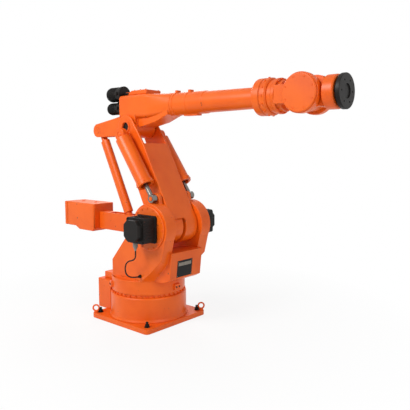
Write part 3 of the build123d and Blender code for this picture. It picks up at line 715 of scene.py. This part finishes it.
COVER_SCREW_SHARES = (0.32, 0.62, 0.92)
COVER_SIDE_SHARE = 0.4
COVER_HEAD = (7 * MM, 5 * MM)
COLLAR_SCREWS = 14
COLLAR_RADIUS = 138 * MM
COLLAR_SCREW_INSET = 30 * MM
COLLAR_HEAD = (8 * MM, 6 * MM)
cover_low, cover_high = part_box("top_cover")
cover_size = cover_high - cover_low
cover_screws = [
    (Vector((cover_low.x + share * cover_size.x, side * cover_size.y, cover_high.z)), UP)
    for share in COVER_SCREW_SHARES
    for side in (-COVER_SIDE_SHARE, COVER_SIDE_SHARE)
]
cap_screws("cover_screws", cover_screws, COVER_HEAD, orange_enamel, "upper_arm")

collar_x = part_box("wrist_collar")[1].x - COLLAR_SCREW_INSET
collar_middle = Vector((collar_x, 0, ARM_AXIS_Z))
collar_angles = [2 * pi * i / COLLAR_SCREWS for i in range(COLLAR_SCREWS)]
collar_ways = [Vector((0, cos(angle), sin(angle))) for angle in collar_angles]
collar_screws = [(collar_middle + way * COLLAR_RADIUS, way) for way in collar_ways]
cap_screws("collar_screws", collar_screws, COLLAR_HEAD, orange_enamel, "upper_arm")

# Junction box: a small cast box on the housing's back end, where the three motor leads come
# together. It has two round black plugs on its side and a screw at each corner.

HOUSING_TOP = 2056 * MM
JUNCTION_SIZE = Vector((66 * MM, 150 * MM, 34 * MM))
JUNCTION_MIDDLE = Vector((-186 * MM, 20 * MM, HOUSING_TOP + JUNCTION_SIZE.z / 2))
JUNCTION_PLUG_RADIUS = 11 * MM
JUNCTION_PLUG_LENGTH = 26 * MM
JUNCTION_PLUG_SHIFT = 16 * MM
JUNCTION_SCREW_X = 25 * MM
JUNCTION_SCREW_Y = 66 * MM
JUNCTION_HEAD = (5 * MM, 3 * MM)
junction = bmesh.new()
add_block(junction, JUNCTION_MIDDLE, JUNCTION_SIZE)
round_edges(show("junction_box", junction, orange_enamel, "upper_arm"), edge_mm=5.0)
junction_plugs = bmesh.new()
for shift in (-JUNCTION_PLUG_SHIFT, JUNCTION_PLUG_SHIFT):
    root = JUNCTION_MIDDLE + Vector((shift, -JUNCTION_SIZE.y / 2, 0))
    add_rod(junction_plugs, root, root + to_right * JUNCTION_PLUG_LENGTH, JUNCTION_PLUG_RADIUS)
piece = show("junction_plugs", junction_plugs, black_oxide, "upper_arm")
round_edges(piece, edge_mm=2.0)
junction_top = JUNCTION_MIDDLE + UP * JUNCTION_SIZE.z / 2
corners = [
    (junction_top + Vector((x * JUNCTION_SCREW_X, y * JUNCTION_SCREW_Y, 0)), UP)
    for x in (-1, 1)
    for y in (-1, 1)
]
cap_screws("junction_screws", corners, JUNCTION_HEAD, orange_enamel, "upper_arm")

# Housing screws: four painted cap screws in the housing's back face, below and beside the
# motors, that hold its bearing plate.

HOUSING_BACK_X = -235 * MM
HOUSING_SCREWS_YZ = (
    (105 * MM, -85 * MM),
    (0, -88 * MM),
    (-105 * MM, -85 * MM),
    (105 * MM, -10 * MM),
)
HOUSING_HEAD = (8 * MM, 7 * MM)
places = [(Vector((HOUSING_BACK_X, y, ARM_AXIS_Z + z)), BACKWARD) for y, z in HOUSING_SCREWS_YZ]
cap_screws("housing_screws", places, HOUSING_HEAD, orange_enamel, "upper_arm")

# Wrist motors: three round servo motors behind the housing that drive the wrist, in the same
# satin black. Each has cooling rings and a socket for its lead.

WRIST_RIBS = 7
FIRST_RIB = 2
WRIST_RIB_PITCH = 15 * MM
WRIST_RIB_WIDTH = 7.5 * MM
WRIST_RIB_DEPTH = 12 * MM
WRIST_RIB_INSET = 2 * MM
SOCKET_SIZE = Vector((34 * MM, 24 * MM, 30 * MM))
SOCKET_SHIFT_SHARE = 0.3
SOCKET_SIDES = {"roll_motor": "right", "bend_motor": "right", "tool_motor": "left"}
for node, side in SOCKET_SIDES.items():
    skin(node, "upper_arm", motor_black, edge_mm=2.0)
    low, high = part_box(node)
    middle = (low + high) / 2
    radius = (high.z - low.z) / 2
    rings = bmesh.new()
    for i in range(FIRST_RIB, FIRST_RIB + WRIST_RIBS):
        rib = Vector((low.x + i * WRIST_RIB_PITCH, middle.y, middle.z))
        inner, outer = radius - WRIST_RIB_DEPTH, radius - WRIST_RIB_INSET
        add_ring(rings, rib, FORWARD, inner, outer, WRIST_RIB_WIDTH)
    socket_shift = FORWARD * (high.x - low.x) * SOCKET_SHIFT_SHARE
    add_block(rings, middle + SIDES[side] * radius + socket_shift, SOCKET_SIZE)
    round_edges(show(node + "_ribs", rings, motor_black, "upper_arm"), edge_mm=1.5)

# Wrist: an iron fork on a roll ring, with a round cover over each bearing and the bending
# head between them. Painted cap screws hold the ring and the covers.

RING_FACE_X = 1449.5 * MM
RING_SCREW_RADIUS = 121 * MM
RING_SCREW_COUNT = 16
NECK_HALF_HEIGHT = 74 * MM
WRIST_RING_HEAD = (7 * MM, 7 * MM)
BEND_MIDDLE = Vector((1660 * MM, 0, ARM_AXIS_Z))
COVER_FACE = 146 * MM
COVER_SCREW_RADIUS = 112 * MM
COVER_SCREW_COUNT = 8
WRIST_COVER_HEAD = (6 * MM, 3 * MM)
for node in ("wrist_fork", "wrist_cover_right", "wrist_cover_left"):
    skin(node, "wrist", orange_enamel, edge_mm=5.0)
skin("wrist_head", "head", orange_enamel, edge_mm=6.0)
ring_face = Vector((RING_FACE_X, 0, ARM_AXIS_Z))
half_step = pi / RING_SCREW_COUNT
places = screw_circle(ring_face, FORWARD, RING_SCREW_RADIUS, RING_SCREW_COUNT, half_step)
free_places = [place for place in places if abs(place[0].z - ARM_AXIS_Z) > NECK_HALF_HEIGHT]
cap_screws("wrist_ring_screws", free_places, WRIST_RING_HEAD, orange_enamel, "wrist")
half_step = pi / COVER_SCREW_COUNT
for side, outward in SIDES.items():
    seat = BEND_MIDDLE + outward * COVER_FACE
    places = screw_circle(seat, outward, COVER_SCREW_RADIUS, COVER_SCREW_COUNT, half_step)
    name = "wrist_cover_screws_" + side
    cap_screws(name, places, WRIST_COVER_HEAD, orange_enamel, "wrist")

# Tool flange: a turned steel disc, sprayed black, with a ring of threaded holes and a
# centring recess for the tool.

skin("tool_flange", "flange", motor_black, edge_mm=1.5)

# Studio: a pale floor under three broad soft lamps. The camera sees floor and room as white,
# and the floor keeps a faint shadow.

FLOOR_REACH = 12.0
FLOOR_DROP = 1 * MM
FLOOR_WHITE = "F4F3F1"
FLOOR_GLOW = 0.85
GLOW_GROWS = (0.8, 2.6)
ROOM_GREY = "8C8C8E"
WHITE = (1, 1, 1, 1)
AIM = Vector((0.35, 0, 1.1))
LAMPS = (
    ("key lamp", Vector((-0.6, -4.6, 4.6)), 2.2, 250.0),
    ("fill lamp", Vector((5.0, -1.0, 2.4)), 2.6, 60.0),
    ("rim lamp", Vector((-3.4, 3.2, 3.8)), 2.0, 110.0),
)


def seen_light(tree):
    """1 for rays that show the room: straight to the camera, in a mirror or through glass."""
    rays = add_node(tree, "ShaderNodeLightPath").outputs
    seen = rays["Is Camera Ray"]
    for kind in ("Is Glossy Ray", "Is Transmission Ray"):
        either = add_node(tree, "ShaderNodeMath", {0: seen, 1: rays[kind]}, operation="MAXIMUM")
        seen = either.outputs["Value"]
    return seen


floor_shape = bmesh.new()
floor_place = Matrix.Translation((0, 0, -FLOOR_DROP))
bmesh.ops.create_grid(floor_shape, x_segments=1, y_segments=1, size=FLOOR_REACH, matrix=floor_place)
floor_mesh = bpy.data.meshes.new("floor")
floor_shape.to_mesh(floor_mesh)
floor_shape.free()
floor = bpy.data.objects.new("floor", floor_mesh)
bpy.context.scene.collection.objects.link(floor)

pale_floor, floor_tree, floor_output = new_material("pale floor")
floor_point = add_node(floor_tree, "ShaderNodeTexCoord").outputs["Object"]
distance = add_node(floor_tree, "ShaderNodeVectorMath", {0: floor_point}, operation="LENGTH")
glow = add_range(floor_tree, distance.outputs["Value"], *GLOW_GROWS, FLOOR_GLOW, 1.0)
glow_share = add_node(
    floor_tree, "ShaderNodeMath", {0: seen_light(floor_tree), 1: glow}, operation="MULTIPLY"
)
floor_paint = add_node(floor_tree, "ShaderNodeBsdfDiffuse", {"Color": linear(FLOOR_WHITE)})
floor_white = add_node(floor_tree, "ShaderNodeEmission", {"Strength": 1.0})
floor_mix = add_node(
    floor_tree,
    "ShaderNodeMixShader",
    {
        0: glow_share.outputs["Value"],
        1: floor_paint.outputs["BSDF"],
        2: floor_white.outputs["Emission"],
    },
)
floor_tree.links.new(floor_mix.outputs["Shader"], floor_output.inputs["Surface"])
floor_mesh.materials.append(pale_floor)

room = bpy.data.worlds.new("studio")
room.use_nodes = True
room_tree = room.node_tree
room_tree.nodes.clear()
room_colour = add_mix(room_tree, seen_light(room_tree), linear(ROOM_GREY), WHITE)
room_light = add_node(room_tree, "ShaderNodeBackground", {"Color": room_colour})
add_node(room_tree, "ShaderNodeOutputWorld", {"Surface": room_light.outputs["Background"]})
bpy.context.scene.world = room

for lamp_name, place, side, power in LAMPS:
    light = bpy.data.lights.new(lamp_name, "AREA")
    light.size = side
    light.energy = power
    lamp = bpy.data.objects.new(lamp_name, light)
    lamp.location = place
    lamp.rotation_euler = (AIM - place).to_track_quat("-Z", "Y").to_euler()
    bpy.context.scene.collection.objects.link(lamp)

# Camera: it stands where the photograph was taken from, in front of the arm's right side and
# a little below the elbow's height, and looks slightly down.

CAMERA_PLACE = Vector((3.479, -3.213, 1.566))
CAMERA_WAY = Vector((-0.650, 0.752, -0.108))
LENS_MM = 44.8
eye = bpy.data.cameras.new("camera")
eye.lens = LENS_MM
camera = bpy.data.objects.new("camera", eye)
camera.location = CAMERA_PLACE
camera.rotation_euler = CAMERA_WAY.to_track_quat("-Z", "Y").to_euler()
bpy.context.scene.collection.objects.link(camera)
bpy.context.scene.camera = camera
bpy.context.scene.view_settings.view_transform = "Standard"
